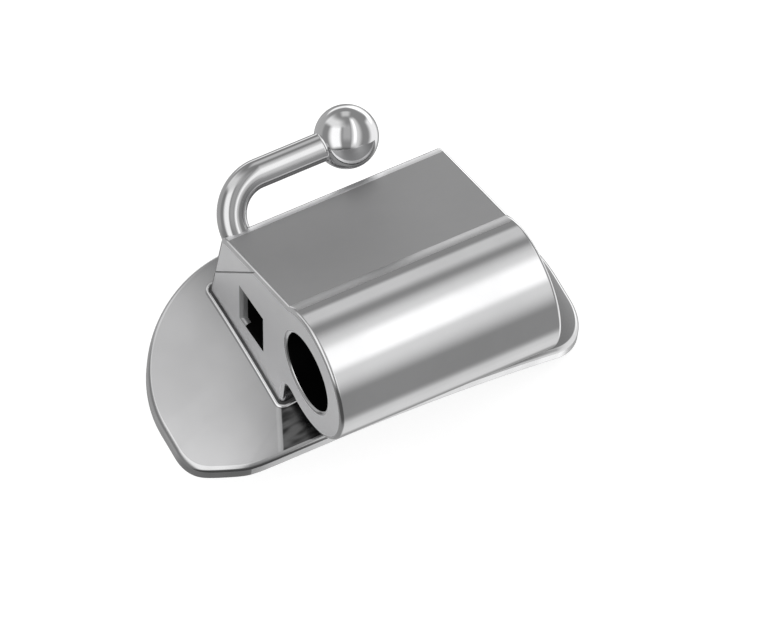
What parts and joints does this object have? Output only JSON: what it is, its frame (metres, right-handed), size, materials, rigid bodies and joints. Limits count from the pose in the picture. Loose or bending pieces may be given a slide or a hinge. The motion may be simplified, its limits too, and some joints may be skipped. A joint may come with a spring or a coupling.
{
  "type": "buccal tube",
  "caption": "Orthodontic molar buccal tube: curved bonding pad, rectangular archwire slot, round headgear tube and a ball hook.",
  "frame": {"origin": "on the tip of the middle stud of the bonding surface, at the crest of the pad's curve", "axes": "+X distal along the archwire slot, +Y gingival (the side of the ball hook), +Z buccal, away from the tooth"},
  "size_m": [0.0072, 0.0052, 0.0043],
  "materials": {
    "pad_steel": "polished front and rim, matt etched back",
    "body_steel": "bright tumbled polish",
    "hook_steel": "mirror polish"
  },
  "bodies": {
    "root": {"base_pad": "pad_steel", "tube_body": "body_steel", "ball_hook": "hook_steel"}
  },
  "joints": []
}
